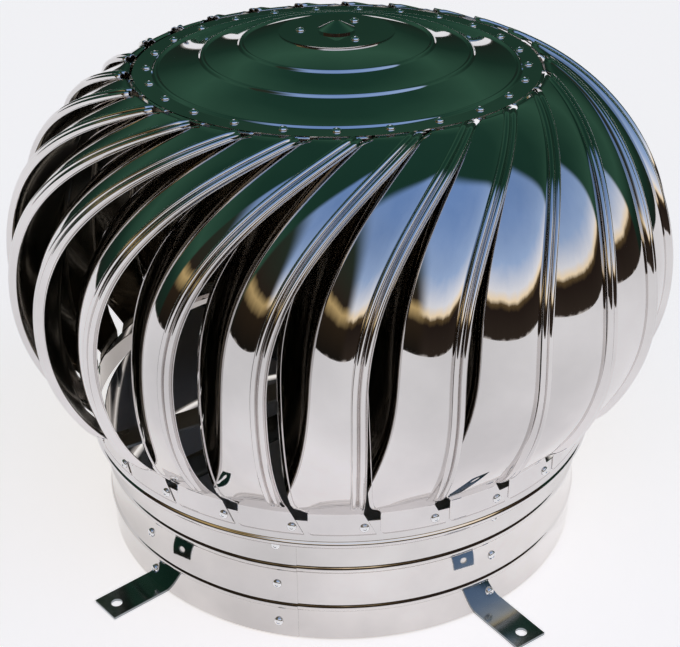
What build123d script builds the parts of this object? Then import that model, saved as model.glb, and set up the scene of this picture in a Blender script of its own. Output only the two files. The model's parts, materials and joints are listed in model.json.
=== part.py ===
"""Roof turbine ventilator: a bladed rotor that spins on a fixed shaft over a beaded duct neck.

Millimetres, +Z up, origin on the spin axis at the level of the undersides of the mounting feet.
"""

import os
from math import asin, cos, degrees, pi, radians, sin, sqrt

from build123d import *

os.makedirs("parts", exist_ok=True)

# ---------------------------------------------------------------- driving dimensions
sheet_t = 0.6  # stainless sheet of the neck, the rotor ring, the cap and the vanes
seat_gap = 0.05  # clearance where one piece seats against another round a curve

# fixed neck
neck_d = 360.0
neck_h = 92.0
neck_bead_heights = (27.0, 60.0)  # above the neck's lower edge
neck_bead_w = 7.0
neck_bead_out = 2.0
neck_lap_w = 26.0  # overlap where the rolled sheet closes
neck_lap_angle = 267.2  # where the overlap ends

# straps that make the feet and the cross bars
strap_w = 25.0
strap_t = 2.0
strap_bend_r = 2.5
foot_reach = 44.0  # from the neck's wall to the foot's end
foot_hole_d = 8.0
foot_hole_inset = 10.0
strap_half_angle = 42.0  # from the Y axis to each of the two crossing straps
cross_bar_z = 84.0  # underside of the lower cross bar

# fixed shaft with its nuts and collars
shaft_d = 12.0
shaft_tail = 12.0  # thread left below the lower nut
shaft_tip = 1.0  # thread left above the top nut
nut_flats = 18.0
nut_h = 8.0
top_nut_flats = 17.0
top_nut_h = 5.0
washer_d = 26.0
washer_t = 2.0
collar_d = 18.0
lower_collar_h = 3.0
upper_collar_h = 7.0

# sealed ball bearings and their housings
bearing_d = 32.0
bearing_w = 10.0
inner_race_t = 3.4
race_gap = 0.06  # running clearance between the inner race and the seals
housing_t = 3.0
housing_lip = 4.5  # how far the lip reaches over the outer race
housing_flange_t = 2.5
lower_flange_d = 56.0
lower_lip_h = 1.5
upper_flange_d = 62.0
upper_lip_h = 7.0

# rotor ring that carries the lower ends of the vanes
ring_over_neck = 7.5  # how far the ring's wall stands outside the neck's
ring_bottom_z = 86.0
ring_h = 22.0
ring_bead_out = 1.6
ring_bead_w = 6.0

# spider between the lower housing and the ring
spider_arms = 4
spider_angle = 37.0
spider_arm_w = 20.0
spider_t = 2.0
spider_hub_d = 66.0
spider_tab_h = 14.0
housing_screw_circle_d = 47.0
housing_screws = 3
housing_screw_d = 4.0

# vanes
vane_count = 25
side_arc_r = 150.0  # the rotor's rounded side, seen from the side
side_arc_top = 65.970136  # degrees of that arc above its widest level
rotor_bulge = 49.1  # how far the ribs stand out beyond the ring
vane_twist = 28.7  # degrees that a rib's upper end runs ahead of its middle
vane_twist_power = 2.5
vane_lean = 3.2  # degrees that a rib's middle lies behind its rivet
vane_foot_span = 8.0  # degrees that the panel covers at its foot
vane_low_span = 8.0  # just above the foot
vane_top_span = 8.0
vane_mid_span = 12.2
vane_mid_depth = 32.0  # how far the panel's inner edge lies inside its outer one
vane_curl = 1.0  # above 1, the panel turns inward more and more
vane_station_step = 13.0  # degrees of the side arc between two sections
rib_w = 10.4
rib_h = 3.6
rib_top_share = (0.15, 0.38)  # where a bead's crown starts and ends across the rib
rib_groove_h = 1.2
vane_foot_bottom_z = 97.0
vane_foot_h = 17.0
vane_foot_rise = 11.0  # height in which the panel turns in to its foot
vane_foot_lead = 2.4  # degrees of foot beyond the rivet
vane_tab_lead = 4.6  # degrees of upper tab beyond the rib's edge
vane_tab_inset = 7.0  # from the cap's rivets to the tab's inner edge
ring_rivet_z = 103.0
ring_rivet_angle = 281.4

# cap
cap_inset = 6.481912  # from the side arc's upper end to the cap's edge
cap_z = 352.0  # top of its flat rim
cap_rise = 21.5
cap_bead_ds = (182.0, 129.2)
cap_bead_w = 4.6
cap_bead_h = 1.4
cap_rivet_inset = 9.0  # from the cap's edge
cap_rivet_angle = 305.5
hub_disc_d = 78.0
hub_disc_t = 1.0
hub_disc_overlap = 1.0
hub_hole_d = 18.0
hub_rivet_circle_d = 48.6
hub_rivets = 3
hub_rivet_angle = 180.0
dome_d = 25.0
dome_h = 6.5
dome_edge_h = 1.2
dome_tip_d = 4.0

# rivets
rivet_head_d = 6.4
rivet_head_h = 1.7
rivet_margin = 0.4  # flat left between a rivet's head and a bead
neck_rivet_heights = (12.0, 45.0, 78.0)  # above the neck's lower edge
neck_seam_rivet_angle = 262.8

# ---------------------------------------------------------------- worked-out dimensions
shaft_r = shaft_d / 2
strap_angles = (270 - strap_half_angle, 270 + strap_half_angle)
neck_r = neck_d / 2
neck_inner_r = neck_r - sheet_t
neck_bottom = strap_t
neck_top = neck_bottom + neck_h
leg_r = sqrt(neck_inner_r**2 - (strap_w / 2) ** 2) - seat_gap
foot_end = neck_r + foot_reach
cross_top = cross_bar_z + 2 * strap_t

ring_r = neck_r + ring_over_neck
ring_inner_r = ring_r - sheet_t
ring_top = ring_bottom_z + ring_h
vane_foot_r = ring_r + seat_gap + sheet_t
vane_foot_top = vane_foot_bottom_z + vane_foot_h
vane_pitch = 360 / vane_count

side_arc_centre_z = cap_z - side_arc_r * sin(radians(side_arc_top))
side_arc_centre_r = ring_r + rotor_bulge - rib_h - side_arc_r
side_top_r = side_arc_centre_r + side_arc_r * cos(radians(side_arc_top))
cap_r = side_top_r - cap_inset
cap_rivet_r = cap_r - cap_rivet_inset
cap_rim_w = cap_rivet_inset + rivet_head_d / 2 + cap_bead_w / 2 + rivet_margin
cap_top = cap_z + cap_rise
cap_cone_r = cap_r - cap_rim_w
cap_centre_r = hub_disc_d / 2 + hub_disc_overlap
cap_under = cap_z - sheet_t
tab_top = cap_under - seat_gap
hub_top = cap_top + hub_disc_t

upper_flange_top = cap_top - sheet_t
upper_bearing_top = upper_flange_top - upper_lip_h
upper_bearing_z = upper_bearing_top - bearing_w
spider_top = ring_top
lower_nut_top = cross_bar_z - washer_t
upper_nut_z = cross_top + washer_t
lower_collar_z = upper_nut_z + nut_h
lower_bearing_z = lower_collar_z + lower_collar_h
shaft_bottom = lower_nut_top - nut_h - shaft_tail
shaft_top = upper_bearing_top + top_nut_h + shaft_tip

bearing_r = bearing_d / 2
inner_race_r = shaft_r + inner_race_t
housing_bore_r = bearing_r + seat_gap
housing_r = housing_bore_r + housing_t


def save(item, name):
    """Label a finished piece and write it out."""
    item.part.label = name
    export_step(item.part, f"parts/{name}.step")


def polar(radius, angle):
    """Point of a level plane at a radius and an angle in degrees."""
    return (radius * cos(radians(angle)), radius * sin(radians(angle)))


def upright(angle, radius=0.0):
    """Plane through the axis: its x runs outward at the angle and its y runs up."""
    x, y = polar(1, angle)
    return Plane(origin=(radius * x, radius * y, 0), x_dir=(x, y, 0), z_dir=(y, -x, 0))


def facing(angle, radius, z):
    """Plane that faces outward from the axis, with its origin at the radius and height."""
    x, y = polar(1, angle)
    return Plane(origin=(radius * x, radius * y, z), x_dir=(-y, x, 0), z_dir=(x, y, 0))


def bead(radius, z, width, height):
    """Outline of a rolled bead on a wall, from its lower edge up."""
    return [
        (radius, z - width / 2),
        (radius + height, z - width / 5),
        (radius + height, z + width / 5),
        (radius, z + width / 2),
    ]


# ---------------------------------------------------------------- neck
def neck_outline(inner, outer):
    """Wall of the neck between two radii, with its beads."""
    points = [(inner, neck_bottom), (outer, neck_bottom)]
    for height in neck_bead_heights:
        points += bead(outer, neck_bottom + height, neck_bead_w, neck_bead_out)
    return points + [(outer, neck_top), (inner, neck_top)]


neck_lap = degrees(neck_lap_w / neck_r)

with BuildPart() as neck:
    with BuildSketch(Plane.XZ):
        with BuildLine():
            Polyline(*neck_outline(neck_inner_r, neck_r), close=True)
        make_face()
    revolve(axis=Axis.Z)
    with BuildSketch(upright(neck_lap_angle - neck_lap)):
        with BuildLine():
            Polyline(*neck_outline(neck_inner_r, neck_r + sheet_t), close=True)
        make_face()
    revolve(axis=Axis.Z, revolution_arc=neck_lap)
save(neck, "neck")


# ---------------------------------------------------------------- straps: feet, legs, cross bars
def strap(angle, bar_z):
    """One bent bar: foot, leg inside the neck, cross bar, leg and foot."""
    bar_top = bar_z + strap_t
    shoulder = (leg_r - strap_bend_r, bar_top - strap_bend_r)
    with BuildPart() as bar:
        with BuildSketch(upright(angle)):
            with BuildLine():
                Polyline(
                    (0, bar_top),
                    (0, bar_z),
                    (leg_r - strap_t, bar_z),
                    (leg_r - strap_t, 0),
                    (foot_end, 0),
                    (foot_end, strap_t),
                    (leg_r, strap_t),
                    (leg_r, shoulder[1]),
                )
                CenterArc(shoulder, strap_bend_r, 0, 90)
                Line((shoulder[0], bar_top), (0, bar_top))
            make_face()
            mirror(about=Plane.YZ)
        extrude(amount=strap_w / 2, both=True)
        with Locations((0, 0, bar_z + strap_t)):
            Hole(shaft_r + seat_gap, depth=strap_t)
        for way in (angle, angle + 180):
            with Locations((*polar(foot_end - foot_hole_inset, way), strap_t)):
                Hole(foot_hole_d / 2, depth=strap_t)
    return bar


for number, angle in enumerate(strap_angles):
    save(strap(angle, cross_bar_z + number * strap_t), f"support_strap_{'ab'[number]}")


# ---------------------------------------------------------------- shaft, nuts, washers, collars
def turned(outer_r, bottom, top, inner_r=0.0):
    """Plain round piece on the axis, with a bore if it has an inner radius."""
    with BuildPart() as piece:
        with BuildSketch(Plane.XY.offset(bottom)):
            Circle(outer_r)
            if inner_r:
                Circle(inner_r, mode=Mode.SUBTRACT)
        extrude(amount=top - bottom)
    return piece


def nut(flats, bottom, height):
    """Hexagon nut on the shaft."""
    with BuildPart() as piece:
        with BuildSketch(Plane.XY.offset(bottom)):
            RegularPolygon(flats / 2, 6, major_radius=False)
            Circle(shaft_r + seat_gap, mode=Mode.SUBTRACT)
        extrude(amount=height)
    return piece


bore_r = shaft_r + seat_gap
save(turned(shaft_r, shaft_bottom, shaft_top), "shaft")
save(nut(nut_flats, lower_nut_top - nut_h, nut_h), "shaft_lower_nut")
save(turned(washer_d / 2, lower_nut_top, cross_bar_z, bore_r), "shaft_lower_washer")
save(turned(washer_d / 2, cross_top, upper_nut_z, bore_r), "shaft_upper_washer")
save(nut(nut_flats, upper_nut_z, nut_h), "shaft_upper_nut")
save(turned(collar_d / 2, lower_collar_z, lower_bearing_z, bore_r), "lower_collar")
save(turned(collar_d / 2, upper_bearing_z - upper_collar_h, upper_bearing_z, bore_r), "upper_collar")
save(nut(top_nut_flats, upper_bearing_top, top_nut_h), "shaft_top_nut")

# ---------------------------------------------------------------- bearings
for name, bottom in (("lower", lower_bearing_z), ("upper", upper_bearing_z)):
    top = bottom + bearing_w
    save(turned(inner_race_r, bottom, top, bore_r), f"{name}_bearing_inner_race")
    save(turned(bearing_r, bottom, top, inner_race_r + race_gap), f"{name}_bearing_outer_race")


# ---------------------------------------------------------------- housings
def housing(bearing_bottom, flange_bottom, flange_r, lip_top):
    """Turned bearing housing with a lip over the outer race and a flange."""
    lip_r = bearing_r - housing_lip
    race_top = bearing_bottom + bearing_w
    flange_top = flange_bottom + housing_flange_t
    outline = [(housing_bore_r, bearing_bottom), (housing_r, bearing_bottom)]
    outline += [(housing_r, flange_bottom), (flange_r, flange_bottom), (flange_r, flange_top)]
    if lip_top > flange_top:
        outline += [(housing_r, flange_top), (housing_r, lip_top)]
    outline += [(lip_r, lip_top), (lip_r, race_top), (housing_bore_r, race_top)]
    with BuildPart() as piece:
        with BuildSketch(Plane.XZ):
            with BuildLine():
                Polyline(*outline, close=True)
            make_face()
        revolve(axis=Axis.Z)
    return piece


lower_lip_top = lower_bearing_z + bearing_w + lower_lip_h
save(housing(lower_bearing_z, spider_top, lower_flange_d / 2, lower_lip_top), "lower_bearing_housing")
upper_flange_bottom = upper_flange_top - housing_flange_t
save(
    housing(upper_bearing_z, upper_flange_bottom, upper_flange_d / 2, upper_flange_top),
    "upper_bearing_housing",
)

# ---------------------------------------------------------------- spider
tab_r = sqrt(ring_inner_r**2 - (spider_arm_w / 2) ** 2) - seat_gap

with BuildPart() as spider:
    with BuildSketch(Plane.XY.offset(spider_top - spider_t)):
        Circle(spider_hub_d / 2)
        with PolarLocations(tab_r / 2, spider_arms, start_angle=spider_angle):
            Rectangle(tab_r, spider_arm_w)
        Circle(housing_r + seat_gap, mode=Mode.SUBTRACT)
    extrude(amount=spider_t)
    with BuildSketch(Plane.XY.offset(spider_top - spider_tab_h)):
        with PolarLocations(tab_r - spider_t / 2, spider_arms, start_angle=spider_angle):
            Rectangle(spider_t, spider_arm_w)
    extrude(amount=spider_tab_h)
save(spider, "rotor_spider")

with BuildPart() as screws:
    with BuildSketch(Plane.XY.offset(spider_top + housing_flange_t)):
        with PolarLocations(housing_screw_circle_d / 2, housing_screws):
            RegularPolygon(housing_screw_d, 6)
    extrude(amount=housing_screw_d * 0.7)
save(screws, "housing_screws")

# ---------------------------------------------------------------- rotor ring
with BuildPart() as ring:
    with BuildSketch(Plane.XZ):
        with BuildLine():
            bead_z = ring_bottom_z + ring_bead_w / 2
            Polyline(
                (ring_inner_r, ring_bottom_z),
                *bead(ring_r, bead_z, ring_bead_w, ring_bead_out),
                (ring_r, ring_top),
                (ring_inner_r, ring_top),
                close=True,
            )
        make_face()
    revolve(axis=Axis.Z)
save(ring, "rotor_ring")

# ---------------------------------------------------------------- vanes
# A vane follows the rotor's rounded side. Its section in a level plane is a rib with two beads,
# then a panel that runs clockwise and inward, behind the rib of the vane before it.
arc_top = side_arc_top
arc_bottom = degrees(asin((vane_foot_top + vane_foot_rise - side_arc_centre_z) / side_arc_r))


def vane_section(arc, at_foot=False):
    """Corner points of a vane's level section at an angle of the side arc."""
    radius = side_arc_centre_r + side_arc_r * cos(radians(arc))
    rise = max(arc, 0) / arc_top
    twist = vane_twist * rise**vane_twist_power - vane_lean
    swell = sin(pi * (arc - arc_bottom) / (arc_top - arc_bottom))
    lean = cos(radians(arc))
    end_span = vane_low_span + (vane_top_span - vane_low_span) * (arc - arc_bottom) / (arc_top - arc_bottom)
    if at_foot:
        radius, swell, lean, end_span = vane_foot_r, 0.0, 1.0, vane_foot_span
    depth = vane_mid_depth * max(swell, 0)
    span = end_span + (vane_mid_span - end_span) * sqrt(max(swell, 0))
    wall = sheet_t / lean
    # near the top a rib runs slantwise, so its level section is wider than the rib
    slant = radius * vane_twist * vane_twist_power * rise ** (vane_twist_power - 1) / arc_top / side_arc_r
    width = degrees(rib_w * sqrt(1 + slant**2) / radius)
    start = ring_rivet_angle + twist
    crown_start, crown_end = rib_top_share
    outer = [polar(radius, start + width)]
    for share, height in (
        (1 - crown_start, rib_h),
        (1 - crown_end, rib_h),
        (0.5, rib_groove_h),
        (crown_end, rib_h),
        (crown_start, rib_h),
    ):
        outer.append(polar(radius + height, start + width * share))
    outer.append(polar(radius, start))
    panel = [polar(radius - depth * share**vane_curl, start - span * share) for share in (0.5, 1)]
    back = [polar(radius - depth * share**vane_curl - wall, start - span * share) for share in (1, 0.5)]
    rear = [polar(radius - wall, start), polar(radius - wall, start + width)]
    return outer, panel, back, rear


def wedge(radius, start, end):
    """Triangle from the axis that cuts a sector out of a ring of up to the radius."""
    return [(0, 0), polar(2 * radius, start), polar(2 * radius, end)]


def vane():
    """The vane whose lower rivet is at the first rivet angle."""
    sections = round((arc_top - arc_bottom) / vane_station_step)
    arcs = [arc_bottom + (arc_top - arc_bottom) * n / sections for n in range(sections + 1)]
    levels = [(side_arc_centre_z + side_arc_r * sin(radians(arc)), arc, False) for arc in arcs]
    levels.insert(0, (vane_foot_top, arcs[0], True))
    with BuildPart() as blade:
        for z, arc, at_foot in levels:
            outer, panel, back, rear = vane_section(arc, at_foot)
            with BuildSketch(Plane.XY.offset(z)):
                with BuildLine():
                    Polyline(*outer)
                    ThreePointArc(outer[-1], *panel)
                    Line(panel[-1], back[0])
                    ThreePointArc(*back, rear[0])
                    Polyline(*rear, outer[0])
                make_face()
        loft(ruled=True)
        foot_start = ring_rivet_angle - vane_lean - vane_foot_span
        with BuildSketch(Plane.XY.offset(vane_foot_bottom_z)):
            Circle(vane_foot_r)
            Circle(ring_r + seat_gap, mode=Mode.SUBTRACT)
            with BuildLine():
                Polyline(*wedge(ring_r, foot_start, ring_rivet_angle + vane_foot_lead), close=True)
            make_face(mode=Mode.INTERSECT)
        extrude(amount=vane_foot_h)
        rib_top_angle = ring_rivet_angle + vane_twist - vane_lean
        tab_start = rib_top_angle - vane_top_span
        with BuildSketch(Plane.XY.offset(tab_top - sheet_t)):
            Circle(side_top_r)
            Circle(cap_rivet_r - vane_tab_inset, mode=Mode.SUBTRACT)
            with BuildLine():
                Polyline(*wedge(ring_r, tab_start, rib_top_angle + vane_tab_lead), close=True)
            make_face(mode=Mode.INTERSECT)
        extrude(amount=sheet_t)
    return blade


first_vane = vane()
for number in range(vane_count):
    with BuildPart() as blade:
        add(first_vane.part.rotate(Axis.Z, number * vane_pitch))
    save(blade, f"vane_{number + 1:02d}")

# ---------------------------------------------------------------- cap
cone_slope = cap_rise / (cap_cone_r - cap_centre_r)


def cone_z(radius):
    """Height of the cap's cone at a radius."""
    return cap_z + (cap_cone_r - radius) * cone_slope


with BuildPart() as cap:
    with BuildSketch(Plane.XZ):
        with BuildLine():
            outline = [(cap_r, cap_under), (cap_r, cap_z)]
            for radius in [cap_cone_r] + [bead_d / 2 for bead_d in cap_bead_ds]:
                outline += [
                    (radius + cap_bead_w / 2, max(cone_z(radius + cap_bead_w / 2), cap_z)),
                    (radius, cone_z(radius) + cap_bead_h),
                    (radius - cap_bead_w / 2, cone_z(radius - cap_bead_w / 2)),
                ]
            outline += [(cap_centre_r, cap_top), (hub_hole_d / 2, cap_top)]
            outline += [(hub_hole_d / 2, cap_top - sheet_t), (cap_centre_r, cap_top - sheet_t)]
            outline += [(cap_cone_r, cap_under)]
            Polyline(*outline, close=True)
        make_face()
    revolve(axis=Axis.Z)
save(cap, "cap")
save(turned(hub_disc_d / 2, cap_top, hub_top, hub_hole_d / 2), "hub_disc")

with BuildPart() as dome:
    with BuildSketch(Plane.XZ):
        with BuildLine():
            Polyline(
                (0, hub_top),
                (dome_d / 2, hub_top),
                (dome_d / 2, hub_top + dome_edge_h),
                (dome_tip_d / 2, hub_top + dome_h),
                (0, hub_top + dome_h),
                close=True,
            )
        make_face()
    revolve(axis=Axis.Z)
save(dome, "hub_dome")


# ---------------------------------------------------------------- rivets
def rivet_heads(planes):
    """Group of equal rivet heads, each on its own plane."""
    with BuildPart() as heads:
        for plane in planes:
            with BuildSketch(plane):
                Circle(rivet_head_d / 2)
            extrude(amount=rivet_head_h)
    return heads


def ring_of_planes(radius, z, count, start):
    """Level planes on a circle."""
    step = 360 / count
    return [Plane(origin=(*polar(radius, start + n * step), z)) for n in range(count)]


save(rivet_heads(ring_of_planes(cap_rivet_r, cap_z, vane_count, cap_rivet_angle)), "cap_rivets")
save(rivet_heads(ring_of_planes(hub_rivet_circle_d / 2, hub_top, hub_rivets, hub_rivet_angle)), "hub_rivets")
save(
    rivet_heads(
        facing(ring_rivet_angle + n * vane_pitch, vane_foot_r + seat_gap, ring_rivet_z)
        for n in range(vane_count)
    ),
    "vane_foot_rivets",
)
neck_columns = [angle + turn for angle in strap_angles for turn in (0, 180)]
save(
    rivet_heads(
        facing(angle, neck_r + seat_gap, neck_bottom + height)
        for angle in neck_columns
        for height in neck_rivet_heights
    ),
    "strap_rivets",
)
save(
    rivet_heads(
        facing(neck_seam_rivet_angle, neck_r + sheet_t + seat_gap, neck_bottom + height)
        for height in neck_rivet_heights
    ),
    "neck_seam_rivets",
)
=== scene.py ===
"""Looks of the roof turbine ventilator, in metres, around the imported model."""

import json
from math import asin, cos, degrees, pi, radians, sin, sqrt

import bpy
import numpy as np
from mathutils import Matrix, Vector


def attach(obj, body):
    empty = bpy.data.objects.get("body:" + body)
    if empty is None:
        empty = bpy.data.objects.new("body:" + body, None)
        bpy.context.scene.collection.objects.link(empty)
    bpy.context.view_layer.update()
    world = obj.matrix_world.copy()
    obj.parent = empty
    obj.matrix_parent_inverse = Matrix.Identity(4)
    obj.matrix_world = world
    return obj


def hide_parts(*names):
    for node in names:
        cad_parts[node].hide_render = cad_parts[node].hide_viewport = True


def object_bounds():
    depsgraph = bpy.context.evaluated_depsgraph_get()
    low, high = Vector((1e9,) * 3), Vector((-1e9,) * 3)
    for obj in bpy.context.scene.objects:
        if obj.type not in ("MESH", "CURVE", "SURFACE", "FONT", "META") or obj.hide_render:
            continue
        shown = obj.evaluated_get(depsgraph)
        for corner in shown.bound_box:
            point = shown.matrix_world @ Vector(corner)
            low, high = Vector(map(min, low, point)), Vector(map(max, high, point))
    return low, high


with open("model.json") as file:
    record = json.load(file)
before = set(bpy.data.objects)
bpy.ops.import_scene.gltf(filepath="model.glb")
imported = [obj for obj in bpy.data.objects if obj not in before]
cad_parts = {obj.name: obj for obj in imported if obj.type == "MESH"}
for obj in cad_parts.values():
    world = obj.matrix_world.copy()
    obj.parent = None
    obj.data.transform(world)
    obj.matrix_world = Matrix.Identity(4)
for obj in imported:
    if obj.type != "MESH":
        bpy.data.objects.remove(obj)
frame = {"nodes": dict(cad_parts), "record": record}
cad_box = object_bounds()
MM = 0.001


# ---------------------------------------------------------------- dimensions, in millimetres and degrees
sheet_t = 0.6
seat_gap = 0.05

# neck
neck_r = 180.0
neck_low = 2.0
neck_high = 94.0
neck_beads = (29.0, 62.0)
neck_bead_w = 6.4
neck_bead_out = 1.4
lap_angle = 267.2  # where the rolled sheet's overlap ends
lap_w = 22.0  # degrees in which the overlap rises from the wall
lap_rise = 12.0

# rotor ring
ring_r = 187.5
ring_low = 86.0
ring_high = 108.0
ring_bead_w = 6.0
ring_bead_out = 1.6

# cap
cap_r = 137.6
cap_z = 352.0  # top of its flat rim
cap_rise = 21.5
cap_rim_w = 14.9
cap_beads = (122.7, 91.0, 64.6)
cap_bead_w = 4.6
cap_bead_out = 1.5
cap_hole_r = 9.0
hub_r = 39.0
hub_top = 374.5

# side arc that the vanes follow
arc_r = 149.0
arc_centre_r = 83.3
arc_top = 66.0
low_draw = 12.0  # how fast the side draws in below its widest level
arc_centre_z = cap_z - arc_r * sin(radians(arc_top))
side_top_r = arc_centre_r + arc_r * cos(radians(arc_top))
arc_mm = radians(1) * arc_r  # length of one degree of the side arc

# vanes
vane_count = 25
pitch = 360 / vane_count
twist = 28.7  # how far a rib's upper end runs ahead of its middle
twist_power = 2.5
lean_back = 3.2  # how far a rib's middle lies behind its rivet
foot_span = 8.0
low_span = 10.2
mid_span = 12.2
top_span = 8.0
mid_depth = 32.0  # how far the panel's inner edge lies inside its outer one
curl = 1.7  # above 1, the panel turns inward more and more
hem = 0.925  # share of the panel at which its folded hem starts
hem_step = 0.003
hem_rise = 0.7
rib_w = 10.4
rib_h = 4.2
groove_h = 1.3
rib_top_h = 0.42  # share of the rib's height that is left at its upper end
rib_end_r = 139.6
end_skew = 2.6  # by which a rib's outer edge stops short of its inner one
bead_centres = (0.27, 0.71)  # the rib's two beads, as shares of its width
bead_half = 0.215
bead_power = 2.2
rib_flange = ((0.93, 0.25), (0.965, 0.5), (1.0, 0.25))
foot_r = ring_r + sheet_t + seat_gap
foot_low = 97.0
foot_high = 114.0
foot_rise = 11.0  # height in which the panel turns in to its foot
foot_lead = 2.4  # how far the foot runs beyond its rivet
foot_corner = 2.2
first_rivet = 281.4
tab_lead = 4.6
tab_radii = (rib_end_r, 134.0, 128.0, 121.6)
arc_low = degrees(asin((foot_high + foot_rise - arc_centre_z) / arc_r))
arc_end = arc_top + (side_top_r - rib_end_r) / arc_mm

# rivets
rivet_r = 3.2
ring_rivet_z = 103.0
cap_rivet_r = 128.6
cap_rivet_angle = 305.5
hub_rivet_r = 24.3
hub_rivet_angle = 187.0
strap_angles = (228.0, 312.0)
neck_rivet_z = (14.0, 47.0, 80.0)
seam_rivet_angle = 262.8

# floor and camera
floor_r = 60.0  # metres
floor_glow = 0.72
glow_edge = (6.0, 1.0)  # inside the neck's wall, where the floor's glow starts
lens = 1326 / 680 * 36
camera_turn = 7.0
camera_height = 29.187
camera_roll = -0.644
camera_distance = 7.751 * 0.1286  # metres
target_below_cap = 1.574 * 0.1286


# ---------------------------------------------------------------- mesh helpers
def polar(radius, angle, z):
    a = np.radians(angle)
    return np.stack(np.broadcast_arrays(radius * np.cos(a), radius * np.sin(a), z), -1)


def new_object(name, points, faces, material, sharp=30):
    mesh = bpy.data.meshes.new(name)
    mesh.from_pydata([tuple(p) for p in np.asarray(points, float).reshape(-1, 3) * MM], [], faces)
    mesh.validate()
    mesh.shade_smooth()
    mesh.set_sharp_from_angle(angle=radians(sharp))
    mesh.materials.append(material)
    piece = bpy.data.objects.new(name, mesh)
    bpy.context.scene.collection.objects.link(piece)
    return piece


def grid_faces(rows, cols, start=0, wrap_rows=False, wrap_cols=False, flip=False):
    faces = []
    for i in range(rows if wrap_rows else rows - 1):
        for j in range(cols if wrap_cols else cols - 1):
            a, b = start + i * cols, start + (i + 1) % rows * cols
            quad = (a + j, a + (j + 1) % cols, b + (j + 1) % cols, b + j)
            faces.append(quad[::-1] if flip else quad)
    return faces


def lathe(name, outline, material, turns=240, sharp=30):
    """A closed outline of (radius, z) points turned about the axis."""
    outline = np.array(outline, float)
    angles = np.arange(turns) * 360 / turns
    points = polar(outline[None, :, 0], angles[:, None], outline[None, :, 1])
    faces = grid_faces(turns, len(outline), wrap_rows=True, wrap_cols=True, flip=True)
    return new_object(name, points, faces, material, sharp)


def bump_line(centre, width, height, count=9):
    """A rounded bead as (place, rise) pairs."""
    t = np.linspace(-1, 1, count)
    return [(centre + width / 2 * s, height * cos(s * pi / 2) ** 1.3) for s in t]


def place(piece, body, slot, *nodes):
    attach(piece, body)
    if nodes:
        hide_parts(*nodes)
    return piece


# ---------------------------------------------------------------- materials
def metal(name, colour, roughness, wave=0.0, wave_scale=14.0, grain=0.0, grain_scale=900.0,
          shade=0.06, stain_scale=38):
    """Bare metal with slow waves in the sheet, a fine grain and slight stains."""
    material = bpy.data.materials.new(name)
    material.use_nodes = True
    nodes, links = material.node_tree.nodes, material.node_tree.links
    shader = nodes["Principled BSDF"]
    shader.inputs["Metallic"].default_value = 1.0
    place_node = nodes.new("ShaderNodeTexCoord")
    stains = nodes.new("ShaderNodeTexNoise")
    stains.inputs["Scale"].default_value = stain_scale
    stains.inputs["Detail"].default_value = 5
    links.new(place_node.outputs["Object"], stains.inputs["Vector"])
    ramp = nodes.new("ShaderNodeValToRGB")
    dark, light = ramp.color_ramp.elements
    dark.position, light.position = 0.35, 0.7
    dark.color = (*[c * (1 - shade) for c in colour], 1)
    light.color = (*colour, 1)
    links.new(stains.outputs["Fac"], ramp.inputs["Fac"])
    links.new(ramp.outputs["Color"], shader.inputs["Base Color"])
    rough = nodes.new("ShaderNodeMapRange")
    rough.inputs["To Min"].default_value = roughness * 0.7
    rough.inputs["To Max"].default_value = roughness * 1.5
    links.new(stains.outputs["Fac"], rough.inputs["Value"])
    links.new(rough.outputs["Result"], shader.inputs["Roughness"])
    normal = None
    for scale, strength, detail in ((wave_scale, wave, 1.5), (grain_scale, grain, 3.0)):
        if strength:
            noise = nodes.new("ShaderNodeTexNoise")
            noise.inputs["Scale"].default_value = scale
            noise.inputs["Detail"].default_value = detail
            links.new(place_node.outputs["Object"], noise.inputs["Vector"])
            bump = nodes.new("ShaderNodeBump")
            bump.inputs["Strength"].default_value = 1.0
            bump.inputs["Distance"].default_value = strength
            links.new(noise.outputs["Fac"], bump.inputs["Height"])
            if normal:
                links.new(normal.outputs["Normal"], bump.inputs["Normal"])
            normal = bump
    if normal:
        links.new(normal.outputs["Normal"], shader.inputs["Normal"])
    return material


mirror_steel = metal("mirror_stainless", (0.80, 0.77, 0.76), 0.03, wave=0.0007, wave_scale=7.0,
                     shade=0.24, stain_scale=9)
# painted shade: the vanes' inner faces are the same steel as the outer ones, coloured dark brown so the
# rotor's inside looks shaded, with a brown tint of painted reflection
inner_steel_painted_shade = metal("inner_stainless_painted_shade", (0.22, 0.19, 0.15), 0.13, wave=0.0006, grain=0.00002, shade=0.3)
neck_steel = metal("neck_stainless", (0.80, 0.77, 0.75), 0.04, wave=0.0006, wave_scale=8.0,
                   shade=0.28, stain_scale=8)
strap_steel = metal("strap_steel", (0.34, 0.37, 0.38), 0.14, wave=0.0002, grain=0.00002, shade=0.2)
rivet_steel = metal("rivet_steel", (0.86, 0.86, 0.86), 0.16, grain=0.00001)
plated_steel = metal("plated_steel", (0.62, 0.62, 0.60), 0.28, grain=0.00004, shade=0.15)
race_steel = metal("race_steel", (0.56, 0.57, 0.58), 0.2, grain=0.00001, shade=0.1)

finish_of = {
    "polished_stainless": mirror_steel,
    "strap_steel": strap_steel,
    "plated_steel": plated_steel,
    "bearing_steel": race_steel,
    "rivet_steel": rivet_steel,
}
for entry in frame["record"]["subparts"]:
    node = frame["nodes"][entry["node"]]
    node.data.materials.clear()
    node.data.materials.append(finish_of[entry["material_slot"]])

# ---------------------------------------------------------------- vanes
def rib_profile():
    """(share of the rib's width, height) across the two rolled beads."""
    profile = [(0.0, 0.0), (0.04, 0.0)]
    for centre in bead_centres:
        for t in np.linspace(-1, 1, 13):
            share = centre + bead_half * t
            height = rib_h * sqrt(max(0.0, 1 - abs(t) ** bead_power))
            if 0.4 < share < 0.6:  # the groove between the beads
                height = max(height, groove_h)
            profile.append((share, height))
    return sorted(profile) + list(rib_flange)


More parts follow.
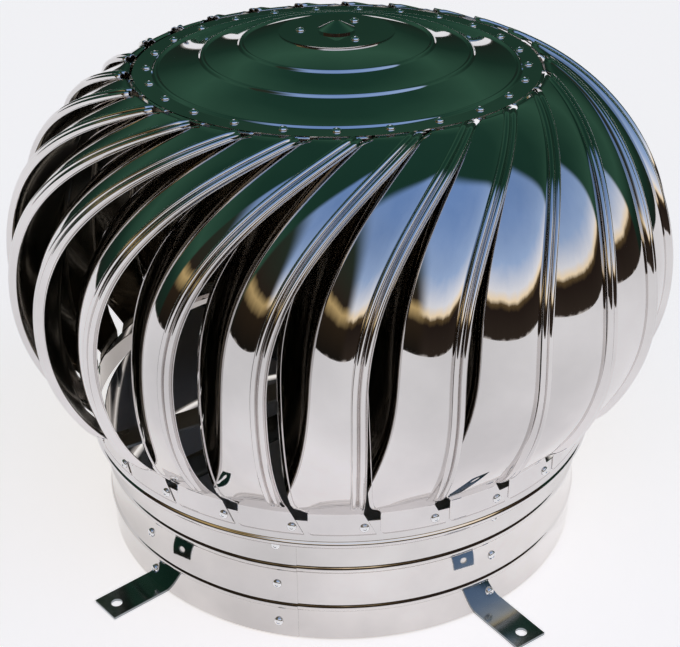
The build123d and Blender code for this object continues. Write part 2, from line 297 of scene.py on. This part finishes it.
rib_points = rib_profile()
panel_shares = np.concatenate([np.linspace(0, hem, 20), [hem + 0.006, 0.965, 0.995, 1.0]])
columns = [(True, t) for t in panel_shares[::-1]] + [(False, p) for p in rib_points[1:]]


def vane_point(arc, is_panel, place):
    """Point of a vane's outer face, as radius, angle and height."""
    along = min(arc, arc_top)
    over = max(0.0, arc - arc_top) * arc_mm  # runs level beyond the side arc
    rise = max(arc, 0) / arc_top
    turn = twist * rise**twist_power - lean_back
    share_up = (along - arc_low) / (arc_top - arc_low)
    swell = max(0.0, sin(pi * share_up))
    ends = low_span + (top_span - low_span) * share_up
    drawn_in = low_draw * sin(radians(min(arc, 0))) ** 2
    radius = arc_centre_r + arc_r * cos(radians(along)) - over - drawn_in
    z = arc_centre_z + arc_r * sin(radians(along))
    start = first_rivet + turn
    if is_panel:
        raised = hem_rise if hem + hem_step < place < 0.999 else 0.0
        span = ends + (mid_span - ends) * sqrt(swell)
        return radius - mid_depth * swell * place**curl + raised, start - span * place, z
    share, height = place
    slant = (radius + over) * twist * twist_power * min(rise, 1) ** (twist_power - 1) / arc_top / arc_r
    width = degrees(rib_w * sqrt(1 + slant**2) / radius)
    height *= min(1.0, max(0.0, (arc - arc_low) / 6.0)) ** 0.5
    height *= 1 - (1 - rib_top_h) * min(rise, 1) ** 2.5
    tilt = radians(along if over == 0 else min(90.0, along + over * 6))
    return radius + height * cos(tilt), start + width * share, z + height * sin(tilt)


def foot_rows(above):
    """Rows of the foot tab, from its lower edge up to the panel's first row."""
    n, panel_n = len(columns), len(panel_shares)
    left = first_rivet - lean_back - foot_span
    rows = []
    for z in (foot_low, foot_low + 2, foot_low + 6, foot_low + 11, foot_high - 1.2, foot_high):
        up = (z - foot_low) / (foot_high - foot_low)
        middle = first_rivet - lean_back - 0.4 * (1 - up)
        right = first_rivet + foot_lead + (-0.2 - foot_lead) * up
        angles = np.interp(np.arange(n), (0, panel_n - 1, n - 1), (left, middle, right))
        rows.append(np.stack([np.full(n, foot_r), angles, np.full(n, z)], 1))
    top = rows[-1]
    for t in (0.12, 0.3, 0.55, 0.8):
        rows.append(top * (1 - t) + above * t)
    for k in range(3):  # rounded lower corner
        rows[0][k, 2] += foot_corner * (1 - k / 3) ** 2
    return rows


def vane_grid():
    """Points of a vane's outer face from its foot to its upper end."""
    rows = []
    for u in np.linspace(0, 1, 64):
        row = []
        for is_panel, place in columns:
            skew = 0 if is_panel else end_skew * place[0]
            row.append(vane_point(arc_low + (arc_end - skew - arc_low) * u, is_panel, place))
        rows.append(row)
    table = np.array(foot_rows(np.array(rows[0])) + rows)
    return polar(table[..., 0], table[..., 1], table[..., 2])


grid = vane_grid()
count, across = grid.shape[:2]
faces = grid_faces(count, across)
tab_angle = first_rivet + twist * (arc_end / arc_top) ** twist_power - lean_back
tab_angles = np.linspace(tab_angle - top_span, tab_angle + tab_lead, 14)
tab = np.array([polar(r, tab_angles, cap_z - sheet_t - seat_gap) for r in tab_radii])
faces += grid_faces(len(tab_radii), len(tab_angles), start=count * across)
points = np.concatenate([grid.reshape(-1, 3), tab.reshape(-1, 3)])
first_vane = new_object("vane_sheet_01", points, faces, mirror_steel, 48)
# second slot: the painted-shade colour for the sheet's inner faces
first_vane.data.materials.append(inner_steel_painted_shade)
vanes = [first_vane]
for n in range(1, vane_count):
    mesh = first_vane.data.copy()
    mesh.transform(Matrix.Rotation(radians(n * pitch), 4, "Z"))
    vane = bpy.data.objects.new(f"vane_sheet_{n + 1:02d}", mesh)
    bpy.context.scene.collection.objects.link(vane)
    vanes.append(vane)
for n, vane in enumerate(vanes):
    thick = vane.modifiers.new("sheet", "SOLIDIFY")
    thick.thickness, thick.offset, thick.use_even_offset = sheet_t * MM, -1, False
    thick.material_offset = 1
    place(vane, "rotor", "polished_stainless", f"vane_{n + 1:02d}")

# ---------------------------------------------------------------- neck
def neck_rows():
    heights = [(neck_low, 0.0)]
    for z in neck_beads:
        heights += bump_line(z, neck_bead_w, neck_bead_out, 13)
    return heights + [(neck_high, 0.0)]


heights = neck_rows()
angles = np.concatenate([np.linspace(lap_angle - 360, lap_angle - 0.02, 300), [lap_angle - 0.01]])
lap = sheet_t * np.clip((angles - (lap_angle - lap_w)) / lap_rise, 0, 1)
outer = np.array([polar(neck_r + out + lap, angles, z) for z, out in heights])
inner = np.array([polar(neck_r - sheet_t, angles, z) for z, out in heights])
rows, cols = outer.shape[:2]
faces = grid_faces(rows, cols, wrap_cols=True)
faces += grid_faces(rows, cols, start=rows * cols, wrap_cols=True, flip=True)
for row, flip in ((0, True), (rows - 1, False)):
    for j in range(cols):
        a, b = row * cols + j, row * cols + (j + 1) % cols
        quad = (a, b, b + rows * cols, a + rows * cols)
        faces.append(quad[::-1] if flip else quad)
neck = new_object("neck_sheet", np.concatenate([outer, inner]), faces, neck_steel, 35)
place(neck, "base", "polished_stainless", "neck")

# ---------------------------------------------------------------- ring
outline = [(ring_r - sheet_t, ring_low), (ring_r, ring_low)]
bead = bump_line(ring_low + ring_bead_w / 2, ring_bead_w, ring_bead_out, 13)
outline += [(ring_r + out, z) for z, out in bead][1:]
outline += [(ring_r, ring_high), (ring_r - sheet_t, ring_high)]
ring = lathe("ring_sheet", outline, mirror_steel)
place(ring, "rotor", "polished_stainless", "rotor_ring")

# ---------------------------------------------------------------- cap
slope = cap_rise / (cap_r - cap_rim_w - hub_r - 1)


def cone_z(radius):
    return cap_z + max(0.0, (cap_r - cap_rim_w - radius) * slope)


outline = [(cap_r, cap_z - sheet_t), (cap_r, cap_z)]
for centre in cap_beads:
    for r, rise in bump_line(centre, cap_bead_w, cap_bead_out, 13)[::-1]:
        outline.append((r, cone_z(r) + rise))
outline += [(hub_r + 1, cone_z(hub_r + 1)), (cap_hole_r, cone_z(hub_r + 1))]
outline += [(cap_hole_r, cone_z(hub_r + 1) - sheet_t), (hub_r + 1, cone_z(hub_r + 1) - sheet_t)]
outline += [(cap_r - cap_rim_w, cap_z - sheet_t)]
cap = lathe("cap_sheet", outline[::-1], mirror_steel, 288)
place(cap, "rotor", "polished_stainless", "cap")


# ---------------------------------------------------------------- rivets
def rivet_points(base, out, up):
    """Head of a blind rivet: a low dome with the broken stem in its middle."""
    side = np.cross(up, out)
    shape = [(rivet_r, 0.0), (rivet_r, 0.35), (2.9, 0.95), (2.3, 1.4), (1.6, 1.65), (1.15, 1.7)]
    shape += [(1.0, 1.3), (0.85, 1.2), (0.0, 1.25)]
    around = 20
    points, faces = [], []
    for r, h in shape[:-1]:
        for k in range(around):
            a = 2 * pi * k / around
            points.append(base + out * h + (up * cos(a) + side * sin(a)) * r)
    points.append(base + out * shape[-1][1])
    for i in range(len(shape) - 2):
        for k in range(around):
            a, b = i * around + k, i * around + (k + 1) % around
            faces.append((a, b, b + around, a + around))
    last = (len(shape) - 2) * around
    for k in range(around):
        faces.append((last + k, last + (k + 1) % around, len(points) - 1))
    faces.append(tuple(range(around))[::-1])
    return points, faces


def rivets(name, spots, body, node):
    points, faces = [], []
    for base, out, up in spots:
        p, f = rivet_points(np.array(base, float), np.array(out, float), np.array(up, float))
        faces += [tuple(i + len(points) for i in face) for face in f]
        points += p
    piece = new_object(name, points, faces, rivet_steel, 50)
    return place(piece, body, "rivet_steel", node)


def on_wall(radius, angle, z):
    out = polar(1.0, angle, 0.0)
    return polar(radius, angle, z), out, (0, 0, 1)


def on_top(radius, angle, z):
    return polar(radius, angle, z), (0, 0, 1), (1, 0, 0)


cap_spots = [on_top(cap_rivet_r, cap_rivet_angle + n * pitch, cap_z) for n in range(vane_count)]
hub_spots = [on_top(hub_rivet_r, hub_rivet_angle + n * 120, hub_top) for n in range(3)]
foot_spots = [on_wall(foot_r + seat_gap, first_rivet + n * pitch, ring_rivet_z) for n in range(vane_count)]
strap_spots = [
    on_wall(neck_r + seat_gap, angle + turn, z)
    for angle in strap_angles
    for turn in (0, 180)
    for z in neck_rivet_z
]
seam_spots = [on_wall(neck_r + sheet_t + seat_gap, seam_rivet_angle, z) for z in neck_rivet_z]
rivets("cap_rivet_heads", cap_spots, "rotor", "cap_rivets")
rivets("hub_rivet_heads", hub_spots, "rotor", "hub_rivets")
rivets("foot_rivet_heads", foot_spots, "rotor", "vane_foot_rivets")
rivets("strap_rivet_heads", strap_spots, "base", "strap_rivets")
rivets("seam_rivet_heads", seam_spots, "base", "neck_seam_rivets")


# ---------------------------------------------------------------- floor, light and camera
def seen_rays(nodes, links):
    """1 for camera, glossy and transmission rays, which all show the same background."""
    path = nodes.new("ShaderNodeLightPath")
    total = path.outputs["Is Camera Ray"]
    for name in ("Is Glossy Ray", "Is Transmission Ray"):
        larger = nodes.new("ShaderNodeMath")
        larger.operation = "MAXIMUM"
        links.new(total, larger.inputs[0])
        links.new(path.outputs[name], larger.inputs[1])
        total = larger.outputs["Value"]
    return total


floor_material = bpy.data.materials.new("floor_paper")
floor_material.use_nodes = True
nodes, links = floor_material.node_tree.nodes, floor_material.node_tree.links
floor_shader = nodes["Principled BSDF"]
floor_shader.inputs["Base Color"].default_value = (0.86, 0.84, 0.83, 1)
floor_shader.inputs["Roughness"].default_value = 0.9
floor_shader.inputs["Specular IOR Level"].default_value = 0.0
floor_shader.inputs["Emission Color"].default_value = (1.0, 0.94, 0.90, 1)
glow = nodes.new("ShaderNodeMath")
glow.operation = "MULTIPLY"
glow.inputs[1].default_value = floor_glow
links.new(seen_rays(nodes, links), glow.inputs[0])
# the neck keeps the floor inside it dark
spot = nodes.new("ShaderNodeTexCoord")
reach = nodes.new("ShaderNodeVectorMath")
reach.operation = "LENGTH"
links.new(spot.outputs["Object"], reach.inputs[0])
outside = nodes.new("ShaderNodeMapRange")
outside.inputs["From Min"].default_value = (neck_r - glow_edge[0]) * MM
outside.inputs["From Max"].default_value = (neck_r - glow_edge[1]) * MM
links.new(reach.outputs["Value"], outside.inputs["Value"])
lit = nodes.new("ShaderNodeMath")
lit.operation = "MULTIPLY"
links.new(glow.outputs["Value"], lit.inputs[0])
links.new(outside.outputs["Result"], lit.inputs[1])
links.new(lit.outputs["Value"], floor_shader.inputs["Emission Strength"])
floor_mesh = bpy.data.meshes.new("floor")
floor_mesh.from_pydata([polar(floor_r, a, 0.0) for a in range(0, 360, 6)], [], [tuple(range(60))])
floor_mesh.materials.append(floor_material)
floor = bpy.data.objects.new("floor", floor_mesh)
floor.location.z = cad_box[0][2]
bpy.context.scene.collection.objects.link(floor)

world = bpy.data.worlds.new("yard")
bpy.context.scene.world = world
world.use_nodes = True
nodes, links = world.node_tree.nodes, world.node_tree.links


def math(operation, *values):
    node = nodes.new("ShaderNodeMath")
    node.operation = operation
    for socket, value in zip(node.inputs, values):
        if isinstance(value, (int, float)):
            socket.default_value = value
        else:
            links.new(value, socket)
    return node.outputs["Value"]


def towards(angle):
    """How far a direction points towards an angle about the vertical axis."""
    dot = nodes.new("ShaderNodeVectorMath")
    dot.operation = "DOT_PRODUCT"
    links.new(direction, dot.inputs[0])
    dot.inputs[1].default_value = (cos(radians(angle)), sin(radians(angle)), 0)
    return dot.outputs["Value"]


def smooth(value, low, high):
    node = nodes.new("ShaderNodeMapRange")
    node.interpolation_type = "SMOOTHSTEP"
    node.inputs["From Min"].default_value, node.inputs["From Max"].default_value = low, high
    links.new(value, node.inputs["Value"])
    return node.outputs["Result"]


def ramp(value, *stops):
    """Colours by height: (sine of the elevation, red, green, blue)."""
    node = nodes.new("ShaderNodeValToRGB")
    elements = node.color_ramp.elements
    while len(elements) < len(stops):
        elements.new(1.0)
    for element, (at, *colour) in zip(elements, stops):
        element.position, element.color = (at + 1) / 2, (*colour, 1)
    links.new(math("MULTIPLY_ADD", value, 0.5, 0.5), node.inputs["Fac"])
    return node.outputs["Color"]


def mix(share, first, second):
    node = nodes.new("ShaderNodeMix")
    node.data_type = "RGBA"
    links.new(share, node.inputs["Factor"])
    links.new(first, node.inputs[6])
    links.new(second, node.inputs[7])
    return node.outputs[2]


def noise(scale, detail, stretch):
    scaled = nodes.new("ShaderNodeVectorMath")
    scaled.operation = "MULTIPLY"
    links.new(direction, scaled.inputs[0])
    scaled.inputs[1].default_value = stretch
    node = nodes.new("ShaderNodeTexNoise")
    node.inputs["Scale"].default_value, node.inputs["Detail"].default_value = scale, detail
    links.new(scaled.outputs["Vector"], node.inputs["Vector"])
    return node.outputs["Fac"]


direction = nodes.new("ShaderNodeTexCoord").outputs["Generated"]
split = nodes.new("ShaderNodeSeparateXYZ")
links.new(direction, split.inputs["Vector"])
height = split.outputs["Z"]
ripple = math("SUBTRACT", noise(6.0, 4.0, (1, 1, 0.3)), 0.5)
wavy = math("ADD", height, math("MULTIPLY", ripple, 0.09))
sky = ramp(
    wavy,
    (-0.02, 0.70, 0.66, 0.63),
    (0.01, 0.035, 0.026, 0.02),
    (0.30, 0.022, 0.015, 0.012),
    (0.36, 0.12, 0.08, 0.035),
    (0.40, 1.15, 0.95, 0.66),
    (0.48, 0.95, 0.98, 1.05),
    (0.70, 0.40, 0.56, 0.86),
    (1.0, 0.18, 0.32, 0.64),
)
trees = ramp(
    wavy,
    (-0.02, 0.70, 0.66, 0.63),
    (0.01, 0.012, 0.02, 0.015),
    (0.25, 0.012, 0.036, 0.024),
    (0.55, 0.035, 0.10, 0.065),
    (0.85, 0.014, 0.05, 0.034),
    (1.0, 0.012, 0.045, 0.032),
)
sheds = ramp(
    wavy,
    (-0.02, 0.62, 0.58, 0.55),
    (0.01, 0.012, 0.010, 0.008),
    (0.30, 0.03, 0.02, 0.012),
    (0.42, 0.62, 0.45, 0.20),
    (0.50, 0.03, 0.022, 0.016),
    (1.0, 0.02, 0.05, 0.035),
)
far, left = 90 + camera_turn, 180 + camera_turn  # as the camera sees them
colour = mix(smooth(towards(left), 0.35, 0.6), sky, sheds)
colour = mix(smooth(towards(far), -0.02, 0.06), colour, trees)
links.new(colour, nodes["Background"].inputs["Color"])
nodes["Background"].inputs["Strength"].default_value = 1.0

camera_data = bpy.data.cameras.new("camera")
camera_data.sensor_fit, camera_data.sensor_width = "HORIZONTAL", 36
camera_data.lens = lens
camera_data.clip_start, camera_data.clip_end = 0.01, 100
camera = bpy.data.objects.new("camera", camera_data)
bpy.context.scene.collection.objects.link(camera)
bpy.context.scene.camera = camera
turn, roll, elevation = radians(camera_turn), radians(camera_roll), radians(camera_height)
target = Vector((0, 0, cap_z * MM - target_below_cap))
forward = Vector((-sin(turn) * cos(elevation), cos(turn) * cos(elevation), -sin(elevation)))
right = Vector((cos(turn), sin(turn), 0))
up = right.cross(forward)
right, up = right * cos(roll) + up * sin(roll), up * cos(roll) - right * sin(roll)
facing = Matrix((right, up, -forward)).transposed().to_4x4()
camera.matrix_world = Matrix.Translation(target - forward * camera_distance) @ facing

bpy.context.scene.view_settings.view_transform = "Standard"
